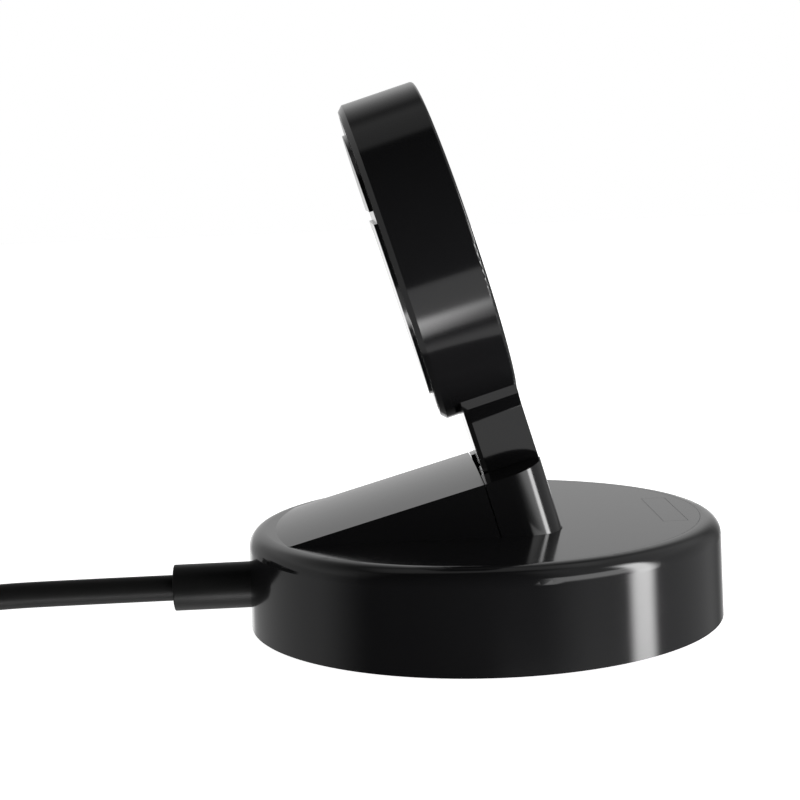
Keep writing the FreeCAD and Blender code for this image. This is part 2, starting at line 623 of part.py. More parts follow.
def slot_prism(x, z, wide, high, start, end):
    """A bar with round sides, as wide and as high as given, along Y."""
    flat = box(x - wide / 2 + high / 2, x + wide / 2 - high / 2, start, end, z - high / 2, z + high / 2)
    sides = [rod(high / 2, start, end, x=x + side * (wide - high) / 2, z=z, along="y") for side in (-1, 1)]
    return fuse(flat, *sides)


# ---------------------------------------------------------------- the stand

lean, ramp = math.radians(size("lean")), math.radians(size("ramp_angle"))
HINGE_X = round(size("head_x") + size("axis_forward") * math.cos(lean) + size("axis_down") * math.sin(lean), 4)
HINGE_Z = round(size("head_height") + size("axis_forward") * math.sin(lean) - size("axis_down") * math.cos(lean), 4)
rise = HINGE_Z - size("ramp_height")
HINGE_UP_RAMP = round(HINGE_X * math.cos(ramp) + rise * math.sin(ramp), 4)
HINGE_OFF_RAMP = round(rise * math.cos(ramp) - HINGE_X * math.sin(ramp), 4)

for build in (base_housing, top_plate, status_window, status_light, underside, ballast, base_board, hinge_bracket,
              hinge_cover, strain_relief, neck, hinge_pins, leads, head_shell, head_covers, head_electronics,
              cable, plug):
    build()
doc.recompute()

faults = [f"{thing.Name}: {thing.State}" for thing in doc.Objects if {"Invalid", "Error"} & set(thing.State)]
for label, thing in nodes:
    if thing.Shape.isNull() or not thing.Shape.isValid() or not thing.Shape.Solids:
        faults.append(f"{label}: no valid solid")
if faults:
    raise RuntimeError("\n".join(faults))
print(f"hinge at x {HINGE_X} z {HINGE_Z}, {len(nodes)} nodes")
os.makedirs("parts", exist_ok=True)
for label, thing in nodes:
    thing.Shape.exportStep(f"parts/{label}.step")
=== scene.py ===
import json
import math
import bpy
from bpy.props import FloatProperty, FloatVectorProperty, IntProperty
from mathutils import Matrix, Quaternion, Vector


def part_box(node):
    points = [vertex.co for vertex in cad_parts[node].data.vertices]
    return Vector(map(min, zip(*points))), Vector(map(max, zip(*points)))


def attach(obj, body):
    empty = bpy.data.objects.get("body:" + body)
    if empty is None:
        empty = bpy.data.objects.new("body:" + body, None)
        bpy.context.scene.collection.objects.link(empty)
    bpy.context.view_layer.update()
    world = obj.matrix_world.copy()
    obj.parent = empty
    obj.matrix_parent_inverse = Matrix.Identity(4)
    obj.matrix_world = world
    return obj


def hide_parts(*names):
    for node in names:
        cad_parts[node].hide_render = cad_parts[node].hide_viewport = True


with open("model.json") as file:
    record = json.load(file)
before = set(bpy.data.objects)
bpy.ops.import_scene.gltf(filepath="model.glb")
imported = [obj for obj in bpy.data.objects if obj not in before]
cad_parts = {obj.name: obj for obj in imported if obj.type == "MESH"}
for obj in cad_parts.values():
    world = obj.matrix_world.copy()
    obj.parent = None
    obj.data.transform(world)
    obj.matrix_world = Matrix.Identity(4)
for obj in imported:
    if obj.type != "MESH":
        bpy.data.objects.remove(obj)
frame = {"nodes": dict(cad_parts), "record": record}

bl_info = {
    "name": "Watch Charging Stand",
    "version": (1, 0, 0),
    "blender": (4, 5, 0),
    "location": "3D View > Sidebar > Stand",
    "description": "Finishes and fine pieces of a smartwatch charging stand",
    "category": "Object",
}

MM = 0.001


def linear(hex_colour):
    """An sRGB hex colour as linear red, green and blue."""
    channels = [int(hex_colour[i:i + 2], 16) / 255 for i in (1, 3, 5)]
    return tuple(c / 12.92 if c <= 0.04045 else ((c + 0.055) / 1.055) ** 2.4 for c in channels)


# ---------------------------------------------------------------- sizes and colours


class StageSizes(bpy.types.PropertyGroup):
    eye: FloatVectorProperty(name="Camera place", description="Where the camera stands", subtype="XYZ",
                             unit="LENGTH", default=(-13.854 * MM, -178.566 * MM, 46.15 * MM))
    aim: FloatVectorProperty(name="Camera aim", description="The point that the camera looks at", subtype="XYZ",
                             unit="LENGTH", default=(-8.508 * MM, 0.0, 24.11 * MM))
    roll: FloatProperty(name="Camera roll", description="Turn of the camera about its own line of sight",
                        subtype="ANGLE", default=math.radians(2.31))
    lens: FloatProperty(name="Lens", description="Focal length on a 36 mm wide sensor", default=75.17)
    floor: FloatProperty(name="Floor", description="Side of the floor sheet", unit="LENGTH", default=4.0)
    paper: FloatVectorProperty(name="Paper", description="Colour of floor and background", subtype="COLOR",
                               default=linear("#FAFAFA"))


class CordSizes(bpy.types.PropertyGroup):
    length: FloatProperty(name="Length", description="Real length from strain relief to plug", unit="LENGTH",
                          default=1.05)
    diameter: FloatProperty(name="Diameter", description="Outside diameter of the jacket", unit="LENGTH",
                            default=2.8 * MM)
    coil_radius: FloatProperty(name="Coil radius", description="Mean radius of the wound turns", unit="LENGTH",
                               default=15.5 * MM)
    columns: IntProperty(name="Columns", description="Turns side by side in one layer", default=4)
    turn_points: IntProperty(name="Points per turn", description="Control points in each turn", default=14)
    jacket: FloatVectorProperty(name="Jacket", description="Colour of the cable jacket", subtype="COLOR",
                                default=linear("#171717"))


class PieceSizes(bpy.types.PropertyGroup):
    collar_radius: FloatProperty(name="Collar radius", description="Outside radius of the rubber collar",
                                 unit="LENGTH", default=2.5 * MM)
    collar_gap: FloatProperty(name="Collar gap", description="Gap between the lead and the collar's bore",
                              unit="LENGTH", default=0.06 * MM)
    collar_mouth: FloatProperty(name="Collar mouth", description="Depth of the collar's open mouth",
                                unit="LENGTH", default=2.2 * MM)
    collar_sunk: FloatProperty(name="Collar sunk", description="How far the collar goes into the side wall",
                               unit="LENGTH", default=0.7 * MM)
    collar_edge: FloatProperty(name="Collar edge", description="Radius of the edges of the collar's mouth",
                               unit="LENGTH", default=0.15 * MM)
    strap: FloatProperty(name="Strap", description="Thickness of the woven strap", unit="LENGTH",
                         default=0.45 * MM)
    strap_corner: FloatProperty(name="Strap corner", description="Radius of the strap's turns",
                                unit="LENGTH", default=1.3 * MM)
    tab_corner: FloatProperty(name="Tab corner", description="Radius of the corners of the strap's free end",
                              unit="LENGTH", default=1.0 * MM)
    grip_corner: FloatProperty(name="Grip corner", description="Radius of the plug grip's long edges",
                               unit="LENGTH", default=1.9 * MM)
    rib: FloatProperty(name="Rib", description="Depth of the grooves in the plug grip", unit="LENGTH",
                       default=0.28 * MM)
    rib_pitch: FloatProperty(name="Rib pitch", description="Distance from one groove to the next",
                             unit="LENGTH", default=1.2 * MM)
    rib_width: FloatProperty(name="Rib width", description="Width of one groove", unit="LENGTH",
                             default=0.55 * MM)
    ribs: IntProperty(name="Ribs", description="Number of grooves on each side of the plug grip", default=5)


class FinishColours(bpy.types.PropertyGroup):
    gloss: FloatVectorProperty(name="Gloss black", description="Moulded housing", subtype="COLOR",
                               default=linear("#161617"))
    lacquer: FloatVectorProperty(name="Lacquer", description="Lacquered neck", subtype="COLOR",
                                 default=linear("#151516"))
    rubber: FloatVectorProperty(name="Rubber", description="Foot ring and collar", subtype="COLOR",
                                default=linear("#1A1A1A"))
    steel: FloatVectorProperty(name="Steel", description="Screws and pins", subtype="COLOR",
                               default=linear("#C4C2BE"))


# ---------------------------------------------------------------- nodes and materials


def add_node(tree, kind, inputs=None, **settings):
    """Adds a node with its own settings, and gives its inputs values or links from other nodes' outputs."""
    node = tree.nodes.new(kind)
    for name, value in settings.items():
        setattr(node, name, value)
    for name, value in (inputs or {}).items():
        if isinstance(value, bpy.types.NodeSocket):
            tree.links.new(value, node.inputs[name])
        else:
            node.inputs[name].default_value = value
    return node


def new_finish(name, **values):
    """A material with one Principled shader; values go to the shader's own sockets."""
    material = bpy.data.materials.new(name)
    material.use_nodes = True
    tree = material.node_tree
    tree.nodes.clear()
    shader = add_node(tree, "ShaderNodeBsdfPrincipled")
    for socket, value in values.items():
        shader.inputs[socket.replace("_", " ")].default_value = value
    add_node(tree, "ShaderNodeOutputMaterial", {"Surface": shader.outputs[0]})
    place = add_node(tree, "ShaderNodeTexCoord").outputs["Object"]
    return material, tree, shader, place


def grain(tree, place, size_mm, detail=3.0, stretch=(1, 1, 1)):
    """Noise whose features are about size_mm wide."""
    spread = add_node(tree, "ShaderNodeMapping", {"Vector": place, "Scale": stretch}).outputs[0]
    scale = 1 / (size_mm * MM)
    return add_node(tree, "ShaderNodeTexNoise", {"Vector": spread, "Scale": scale, "Detail": detail}).outputs[0]


def skin(tree, shader, tones, gloss=None, relief=None):
    """Gives a shader its surface.

    tones is a pattern and the two near colours that it moves between, gloss is a pattern and its two
    roughnesses, and relief is a height pattern, its depth in millimetres and the share of it that shows.
    """
    pattern, low, high = tones
    colour = add_node(tree, "ShaderNodeMix", {0: pattern, 6: (*low, 1), 7: (*high, 1)}, data_type="RGBA")
    tree.links.new(colour.outputs[2], shader.inputs["Base Color"])
    if gloss:
        pattern, low, high = gloss
        rough = add_node(tree, "ShaderNodeMapRange", {"Value": pattern, "To Min": low, "To Max": high})
        tree.links.new(rough.outputs[0], shader.inputs["Roughness"])
    if relief:
        height, depth_mm, share = relief
        depth = depth_mm * MM
        bump = add_node(tree, "ShaderNodeBump", {"Height": height, "Distance": depth, "Strength": share})
        tree.links.new(bump.outputs[0], shader.inputs["Normal"])


def shade(colour, factor):
    """A colour made darker or lighter."""
    return tuple(c * factor for c in colour)


def gloss_abs():
    """ABS from a polished mould: near black and mirror clear, with a moulded skin's faint long swell."""
    colour = bpy.context.scene.finish_colours.gloss
    material, tree, shader, place = new_finish("gloss_black_abs", IOR=1.5)
    skin(tree, shader, (grain(tree, place, 9), shade(colour, 0.85), shade(colour, 1.1)),
         (grain(tree, place, 2.5), 0.095, 0.13), (grain(tree, place, 12, detail=1.0), 0.006, 1.0))
    return material


def lacquered_zinc():
    """Die-cast zinc under gloss black lacquer: the lacquer levels itself into soft orange peel 1.6 mm wide."""
    colour = bpy.context.scene.finish_colours.lacquer
    material, tree, shader, place = new_finish("gloss_black_lacquer", IOR=1.5)
    skin(tree, shader, (grain(tree, place, 6), shade(colour, 0.85), shade(colour, 1.1)),
         (grain(tree, place, 2), 0.08, 0.11), (grain(tree, place, 1.6, detail=1.0), 0.0006, 1.0))
    return material


def smoked_acrylic():
    """Smoke-tinted acrylic, laser cut and flush: as black as the deck, a little clearer in its reflection."""
    material, tree, shader, place = new_finish("smoked_acrylic", IOR=1.49)
    skin(tree, shader, (grain(tree, place, 4), linear("#121213"), linear("#17171A")),
         (grain(tree, place, 3), 0.08, 0.1))
    return material


def frosted_acrylic():
    """Bead-blasted clear acrylic: milky, light passes and spreads."""
    material, tree, shader, place = new_finish("frosted_acrylic", IOR=1.49, Transmission_Weight=0.6)
    skin(tree, shader, (grain(tree, place, 1.5), linear("#E4E8EA"), linear("#F2F4F5")),
         (grain(tree, place, 0.4), 0.4, 0.55))
    return material


def solder_mask():
    """Green solder mask on glass epoxy: translucent lacquer with raised copper tracks showing lighter."""
    material, tree, shader, place = new_finish("green_solder_mask", IOR=1.52, Coat_Weight=0.6,
                                               Coat_Roughness=0.2)
    tracks = add_node(tree, "ShaderNodeTexBrick", {
        "Vector": place, "Scale": 1 / (3 * MM), "Mortar Size": 0.03, "Mortar Smooth": 0.2,
        "Color1": (0, 0, 0, 1), "Color2": (0, 0, 0, 1), "Mortar": (1, 1, 1, 1)}).outputs[0]
    skin(tree, shader, (tracks, linear("#0B4A2A"), linear("#1E7A48")),
         (grain(tree, place, 0.8), 0.35, 0.45), (tracks, 0.03, 1.0))
    return material


def lamp_package():
    """White ceramic-filled lamp package with a phosphor-yellow lens."""
    material, tree, shader, place = new_finish("lamp_package", IOR=1.5)
    skin(tree, shader, (grain(tree, place, 0.5), linear("#E9E2BE"), linear("#F4F2E6")),
         (grain(tree, place, 0.3), 0.3, 0.45))
    return material


def spark_textured_abs():
    """ABS from a spark-eroded mould: an even matte grain. Drawn at 0.12 mm, coarse enough to show."""
    material, tree, shader, place = new_finish("textured_black_abs", IOR=1.54)
    skin(tree, shader, (grain(tree, place, 1.2), linear("#161616"), linear("#1D1D1E")),
         (grain(tree, place, 0.6), 0.42, 0.55), (grain(tree, place, 0.12), 0.015, 0.6))
    return material


def satin_rubber():
    """Compression-moulded silicone rubber: satin black with a dry, slightly blotchy skin."""
    colour = bpy.context.scene.finish_colours.rubber
    material, tree, shader, place = new_finish("satin_silicone_rubber", IOR=1.42, Specular_IOR_Level=0.25)
    skin(tree, shader, (grain(tree, place, 1.5), shade(colour, 0.8), shade(colour, 1.15)),
         (grain(tree, place, 0.7), 0.36, 0.46), (grain(tree, place, 0.2), 0.008, 0.5))
    return material


def polyester_label():
    """Blank matte polyester film: dark grey, with the long streaks of its coating."""
    material, tree, shader, place = new_finish("polyester_film", IOR=1.57)
    skin(tree, shader, (grain(tree, place, 1, stretch=(1, 12, 1)), linear("#3A3A3C"), linear("#454548")),
         (grain(tree, place, 0.8), 0.45, 0.6))
    return material


def turned_steel():
    """Bright zinc-plated machine screw steel: fine turning lines that break up the highlight."""
    colour = bpy.context.scene.finish_colours.steel
    material, tree, shader, place = new_finish("machine_screw_steel", Metallic=1.0)
    lines = grain(tree, place, 0.5, stretch=(1, 1, 14))
    skin(tree, shader, (grain(tree, place, 0.8), shade(colour, 0.85), colour),
         (lines, 0.22, 0.36), (lines, 0.004, 1.0))
    return material


def nickel_plate(name="nickel_plated_steel", tone="#CFCBC2"):
    """Nickel over rolled steel: warm silver, drawn marks along the sheet."""
    material, tree, shader, place = new_finish(name, Metallic=1.0)
    marks = grain(tree, place, 1.2, stretch=(1, 10, 10))
    skin(tree, shader, (grain(tree, place, 3), shade(linear(tone), 0.9), linear(tone)),
         (marks, 0.2, 0.32), (marks, 0.003, 1.0))
    return material


def epoxy_package():
    """Transfer-moulded epoxy: charcoal, eggshell matte, speckled with filler."""
    material, tree, shader, place = new_finish("moulded_epoxy", IOR=1.55)
    skin(tree, shader, (grain(tree, place, 0.2), linear("#242426"), linear("#323234")),
         (grain(tree, place, 0.3), 0.5, 0.65))
    return material


def sintered_ferrite():
    """Sintered ferrite: dense dark grey ceramic with a crystalline sparkle."""
    material, tree, shader, place = new_finish("sintered_ferrite", Metallic=0.3)
    crystals = add_node(tree, "ShaderNodeTexVoronoi", {"Vector": place, "Scale": 1 / (0.25 * MM)}).outputs[0]
    skin(tree, shader, (crystals, linear("#3E3F42"), linear("#55565A")), (crystals, 0.35, 0.55))
    return material


def bare_aluminium():
    """Drawn aluminium can: pale, soft vertical draw marks."""
    material, tree, shader, place = new_finish("drawn_aluminium", Metallic=1.0)
    marks = grain(tree, place, 0.4, stretch=(1, 1, 0.1))
    skin(tree, shader, (marks, linear("#C9CBCE"), linear("#DCDDE0")), (marks, 0.25, 0.4))
    return material


def natural_nylon():
    """Natural nylon: waxy off-white, a little light enters it."""
    material, tree, shader, place = new_finish("natural_nylon", IOR=1.53, Subsurface_Weight=0.1,
                                               Subsurface_Scale=1 * MM)
    skin(tree, shader, (grain(tree, place, 1), linear("#DEDACF"), linear("#EBE8E0")),
         (grain(tree, place, 0.5), 0.35, 0.45))
    return material


def cable_jacket():
    """Extruded TPE: satin black with fine draw lines and a faint mottle."""
    colour = bpy.context.scene.cord_sizes.jacket
    material, tree, shader, place = new_finish("satin_tpe_jacket", IOR=1.48, Specular_IOR_Level=0.2)
    skin(tree, shader, (grain(tree, place, 1.5), shade(colour, 0.8), shade(colour, 1.15)),
         (grain(tree, place, 0.8), 0.45, 0.54), (grain(tree, place, 0.25), 0.006, 0.5))
    return material


def soft_touch_face():
    """Soft-touch silicone over the coil: deep black velvet, a faint bloom at a low angle."""
    material, tree, shader, place = new_finish("soft_touch_silicone", IOR=1.42, Sheen_Weight=0.08,
                                               Sheen_Roughness=0.4)
    skin(tree, shader, (grain(tree, place, 3), linear("#1B1B1C"), linear("#202021")),
         (grain(tree, place, 0.8), 0.42, 0.52), (grain(tree, place, 0.15), 0.006, 0.5))
    return material


def litz_copper():
    """Enamelled copper litz: reddish bundles, each strand a fine bright line round the coil."""
    material, tree, shader, place = new_finish("enamelled_copper", Metallic=0.9, Coat_Weight=0.4,
                                               Coat_Roughness=0.15)
    strands = grain(tree, place, 0.3, stretch=(1, 1, 6))
    skin(tree, shader, (strands, linear("#A65A32"), linear("#D08754")), (strands, 0.25, 0.4))
    return material


def woven_strap():
    """Hook-and-loop tape: black nylon weave with a 0.5 mm thread, and fuzz that catches light at its edges."""
    material, tree, shader, place = new_finish("woven_nylon_strap", Sheen_Weight=0.4, Sheen_Roughness=0.5)
    slant = (0, 0, math.radians(45))
    turned = add_node(tree, "ShaderNodeMapping", {"Vector": place, "Rotation": slant}).outputs[0]
    wave = {"Vector": turned, "Scale": 0.3 / (0.5 * MM), "Distortion": 0.6, "Detail": 1.0}
    threads = [add_node(tree, "ShaderNodeTexWave", wave, bands_direction=way).outputs[1] for way in ("X", "Y")]
    weave = add_node(tree, "ShaderNodeMath", {0: threads[0], 1: threads[1]}, operation="MAXIMUM").outputs[0]
    skin(tree, shader, (weave, linear("#121212"), linear("#2B2B2C")), (weave, 0.6, 0.8), (weave, 0.08, 1.0))
    return material


FINISHES = {
    "gloss_black": gloss_abs, "gloss_black_cast": lacquered_zinc, "window_tint": smoked_acrylic,
    "clear_guide": frosted_acrylic, "board_green": solder_mask, "lamp_white": lamp_package,
    "matte_black": spark_textured_abs, "black_rubber": satin_rubber, "label_film": polyester_label,
    "screw_steel": turned_steel, "plated_steel": nickel_plate, "chip_black": epoxy_package,
    "ferrite_grey": sintered_ferrite, "can_aluminium": bare_aluminium, "nylon_white": natural_nylon,
    "cable_jacket": cable_jacket, "soft_face": soft_touch_face, "coil_copper": litz_copper,
    "magnet_nickel": lambda: nickel_plate("nickel_plated_magnet", "#D6D2C8"), "tie_strap": woven_strap,
}
MADE = {}


def finish_for(slot):
    """The material for one of the record's slots, made once."""
    if slot not in MADE:
        MADE[slot] = FINISHES[slot]()
    return MADE[slot]


# ---------------------------------------------------------------- making pieces


def clear_selection():
    """Leaves nothing selected and nothing active."""
    for thing in bpy.context.selected_objects:
        thing.select_set(False)
    bpy.context.view_layer.objects.active = None


def primitive(kind, name, **where):
    """Adds a primitive mesh with nothing else selected."""
    clear_selection()
    getattr(bpy.ops.mesh, f"primitive_{kind}_add")(**where)
    piece = bpy.context.active_object
    piece.name = name
    piece.data.name = name
    bpy.ops.object.transform_apply(location=True, rotation=True, scale=True)
    return piece


def edit(piece, part, chosen=lambda item: True):
    """Enters edit mode with the chosen faces, edges or vertices of a piece selected."""
    clear_selection()
    piece.select_set(True)
    bpy.context.view_layer.objects.active = piece
    bpy.ops.object.mode_set(mode="EDIT")
    bpy.ops.mesh.select_mode(type=part)
    bpy.ops.mesh.select_all(action="DESELECT")
    bpy.ops.object.mode_set(mode="OBJECT")
    items = {"VERT": piece.data.vertices, "EDGE": piece.data.edges, "FACE": piece.data.polygons}[part]
    for item in items:
        item.select = bool(chosen(item))
    bpy.ops.object.mode_set(mode="EDIT")


def leave_edit():
    """Goes back to object mode."""
    bpy.ops.object.mode_set(mode="OBJECT")


def middle(piece, item):
    """The centre of a face or an edge."""
    if hasattr(item, "center"):
        return item.center.copy()
    points = [piece.data.vertices[i].co for i in item.vertices]
    return sum(points, Vector()) / len(points)


def along(piece, edge):
    """The direction of an edge."""
    a, b = (piece.data.vertices[i].co for i in edge.vertices)
    return (b - a).normalized()


def add_modifier(piece, kind, **settings):
    """Adds a modifier and applies it."""
    clear_selection()
    piece.select_set(True)
    bpy.context.view_layer.objects.active = piece
    modifier = piece.modifiers.new(kind.title(), kind)
    for name, value in settings.items():
        setattr(modifier, name, value)
    bpy.ops.object.modifier_apply(modifier=modifier.name)


def smooth(piece):
    """Shades a piece smooth, but for edges sharper than 35 degrees."""
    clear_selection()
    piece.select_set(True)
    bpy.context.view_layer.objects.active = piece
    bpy.ops.object.shade_smooth_by_angle(angle=math.radians(35))


def deliver(piece, slot, body, *nodes):
    """Gives a finished piece the material of its slot and its body, and hides the CAD nodes that it stands for.
    """
    piece.data.materials.clear()
    piece.data.materials.append(finish_for(slot))
    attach(piece, body)
    if nodes:
        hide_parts(*nodes)


# ---------------------------------------------------------------- stage


def window(tree, value, low, high, soft):
    """1 between low and high degrees, falling smoothly to 0 over soft degrees outside them."""
    slopes = [add_node(tree, "ShaderNodeMapRange", {
        "Value": value, "From Min": math.radians(start), "From Max": math.radians(start + soft),
        "To Min": 1.0 - rises, "To Max": float(rises)}, interpolation_type="SMOOTHSTEP").outputs[0]
              for start, rises in ((low - soft, True), (high, False))]
    return add_node(tree, "ShaderNodeMath", dict(enumerate(slopes)), operation="MULTIPLY").outputs[0]


# Soft boxes round the stand. Around is in degrees from the front of the table, positive towards the watch side,
# up is in degrees above the table top: (around from, to, soft, up from, to, soft, strength)
SOFT_BOXES = (
    (165, 200, 25, -40, 22, 42, 0.63),      # behind, on the watch side
    (48, 125, 30, -40, 60, 20, 0.34),       # tall, on the watch side
    (-200, -92, 34, -40, 22, 38, 0.42),     # behind and beside, on the cable side
    (-200, -165, 20, -40, 22, 38, 0.2),
    (100, 200, 30, 30, 48, 16, 0.12),       # high behind
    (-200, -90, 30, 30, 48, 16, 0.12),
    (165, 200, 10, -14, -4, 5, 0.6),        # bright table edge behind
    (-200, -165, 10, -14, -4, 5, 0.6),
    (71, 77, 7, -8, 26, 20, 12.5),          # narrow strip light on the watch side
    (95, 200, 20, 66, 91, 12, 0.3),         # overhead, behind the stand's middle
    (-200, -95, 20, 66, 91, 12, 0.3),
    (8, 80, 14, -48, -17, 2, 0.95),         # light from the table in front
    (-25, 9, 16, -48, -41, 6, 12.0),
    (-180, 180, 1, -91, -58, 6, 0.9),       # light from the table round the foot
    (30, 64, 8, 2, 20, 5, 2.6),             # card at the front corner
)
ROOM_GLOW = 0.012


def studio_light():
    """The room: white to the eye, dark in front, with soft boxes that show only as light and reflections."""
    world = bpy.data.worlds.new("studio")
    bpy.context.scene.world = world
    world.use_nodes = True
    tree = world.node_tree
    tree.nodes.clear()
    sky = add_node(tree, "ShaderNodeTexCoord").outputs["Generated"]
    way = add_node(tree, "ShaderNodeSeparateXYZ", {0: sky})
    front = add_node(tree, "ShaderNodeMath", {0: way.outputs[1], 1: -1.0}, operation="MULTIPLY").outputs[0]
    around = add_node(tree, "ShaderNodeMath", {0: way.outputs[0], 1: front}, operation="ARCTAN2").outputs[0]
    up = add_node(tree, "ShaderNodeMath", {0: way.outputs[2]}, operation="ARCSINE").outputs[0]
    total = ROOM_GLOW
    for left, right, side_soft, bottom, top, height_soft, strength in SOFT_BOXES:
        sides = window(tree, around, left, right, side_soft)
        heights = window(tree, up, bottom, top, height_soft)
        lit = add_node(tree, "ShaderNodeMath", {0: sides, 1: heights}, operation="MULTIPLY").outputs[0]
        terms = {0: lit, 1: strength, 2: total}
        total = add_node(tree, "ShaderNodeMath", terms, operation="MULTIPLY_ADD").outputs[0]
    room = add_node(tree, "ShaderNodeBackground", {"Color": (1, 1, 1, 1), "Strength": total})
    paper = add_node(tree, "ShaderNodeBackground", {"Color": (1, 1, 1, 1), "Strength": 1.0})
    seen = add_node(tree, "ShaderNodeLightPath").outputs["Is Camera Ray"]
    both = add_node(tree, "ShaderNodeMixShader", {0: seen, 1: room.outputs[0], 2: paper.outputs[0]})
    add_node(tree, "ShaderNodeOutputWorld", {"Surface": both.outputs[0]})


class STAND_OT_stage(bpy.types.Operator):
    """Camera, pale floor and soft light"""
    bl_idname = "stand.stage"
    bl_label = "Stage"

    def execute(self, context):
        sizes = context.scene.stage_sizes
        lens = bpy.data.cameras.new("camera")
        camera = bpy.data.objects.new("camera", lens)
        context.collection.objects.link(camera)
        context.scene.camera = camera
        lens.lens = sizes.lens
        lens.sensor_width = 36
        lens.clip_start = 1 * MM
        sight = Vector(sizes.aim) - Vector(sizes.eye)
        camera.rotation_mode = "QUATERNION"
        camera.rotation_quaternion = Quaternion(sight, sizes.roll) @ sight.to_track_quat("-Z", "Y")
        camera.location = sizes.eye
        floor = primitive("plane", "floor", size=sizes.floor, location=(0, 0, 0))
        paper, tree, shader, place = new_finish("pale_paper", Roughness=0.9, Emission_Strength=1.0,
                                                Emission_Color=(1, 1, 1, 1))
        skin(tree, shader, (grain(tree, place, 40), shade(sizes.paper, 0.97), sizes.paper))
        floor.data.materials.append(paper)
        floor.visible_glossy = False
        floor.visible_diffuse = False
        floor.visible_shadow = False
        studio_light()
        context.scene.view_settings.view_transform = "Standard"
        return {"FINISHED"}


# ---------------------------------------------------------------- cord


# The lead's way in millimetres, from the collar to the coil and from the coil to the plug.
WAY_OUT = ((-33.2, 0, 4.65), (-44, 0, 4.65), (-55, 0, 4.55), (-65, -0.3, 3.3), (-73, 0.1, 2.45),
           (-80, 0.6, 2.4))
WAY_TO_PLUG = ((-85.4, 2.6, 7.5), (-90.95, 7.65, 9.8), (-94, 14.5, 11.5), (-94, 22, 12.0))
TURNS = 10.05
MOVES_OVER = 1 / 6


def coil_points(centre, sizes, low):
    """Control points of the wound turns: inward in the first layer, outward in the second, inward again above.

    The lead comes in at the coil's -Y side, and its turns run clockwise seen from above. The last sixth of a
    turn moves over to the next column, or up to the next layer.
    """
    points = []
    last = sizes.columns - 1
    places = []
    for turn in range(int(TURNS) + 2):
        layer, column = divmod(turn, sizes.columns)
        places.append((column if layer % 2 else last - column, layer))
    inner = sizes.coil_radius - last / 2 * sizes.diameter
    for step in range(1, int(TURNS * sizes.turn_points)):
        turn, part = divmod(step / sizes.turn_points, 1)
        moved = max(0.0, part - 1 + MOVES_OVER) / MOVES_OVER
        (column, layer), (next_column, next_layer) = places[int(turn)], places[int(turn) + 1]
        radius = inner + (column + (next_column - column) * moved) * sizes.diameter
        height = low + (layer + (next_layer - layer) * moved) * sizes.diameter
        angle = -math.pi / 2 - 2 * math.pi * step / sizes.turn_points
        points.append(centre + Vector((radius * math.cos(angle), radius * math.sin(angle), height)))
    return points


class STAND_OT_cord(bpy.types.Operator):
    """The captive lead, from the strain relief through its put-away coil to the plug"""
    bl_idname = "stand.cord"
    bl_label = "Cord"

    def execute(self, context):
        sizes = context.scene.cord_sizes
        low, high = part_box("cable_coil")
        centre = Vector(((low.x + high.x) / 2, (low.y + high.y) / 2, 0))
        turned = coil_points(centre, sizes, low.z + sizes.diameter / 2)
        points = [Vector(p) * MM for p in WAY_OUT] + turned + [Vector(p) * MM for p in WAY_TO_PLUG]
        curve = bpy.data.curves.new("lead", "CURVE")
        curve.dimensions = "3D"
        curve.bevel_depth = sizes.diameter / 2
        curve.bevel_resolution = 5
        curve.resolution_u = 6
        curve.use_fill_caps = True
        spline = curve.splines.new("NURBS")
        spline.points.add(len(points) - 1)
        for point, place in zip(spline.points, points):
            point.co = (*place, 1)
        spline.order_u = 3
        spline.use_endpoint_u = True
        lead = bpy.data.objects.new("lead", curve)
        context.collection.objects.link(lead)
        deliver(lead, "cable_jacket", "base", "usb_cable", "cable_coil", "cable_end")
        pieces = [bpy.data.objects[name] for name in ("collar", "coil_strap", "plug_body")]
        pieces += [frame["nodes"][name] for name in ("plug_shell", "plug_tongue")]
        return {"FINISHED"}


class STAND_OT_collar(bpy.types.Operator):
    """The straight rubber collar where the lead leaves the base"""
    bl_idname = "stand.collar"
    bl_label = "Collar"

    def execute(self, context):
        sizes = context.scene.piece_sizes
        bore = context.scene.cord_sizes.diameter / 2 + sizes.collar_gap
        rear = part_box("strain_relief")[0].x
        in_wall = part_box("base_housing")[0].x + sizes.collar_sunk
        lead_height = WAY_OUT[0][2] * MM
        collar = primitive("cylinder", "collar", vertices=96, radius=sizes.collar_radius, depth=in_wall - rear,
                           location=((rear + in_wall) / 2, 0, lead_height), rotation=(0, math.pi / 2, 0))
        edit(collar, "FACE", lambda face: face.normal.x < -0.9)
        bpy.ops.mesh.inset(thickness=sizes.collar_radius - bore)
        bpy.ops.mesh.extrude_region_move(TRANSFORM_OT_translate={"value": (sizes.collar_mouth, 0, 0)})
        leave_edit()

        def rim(item):
            return abs(middle(collar, item).x - rear) < 1e-6 and abs(along(collar, item).x) < 0.1

        edit(collar, "EDGE", rim)
        bpy.ops.mesh.bevel(offset=sizes.collar_edge, segments=3)
        leave_edit()
        smooth(collar)
        deliver(collar, "black_rubber", "base", "strain_relief")
        return {"FINISHED"}


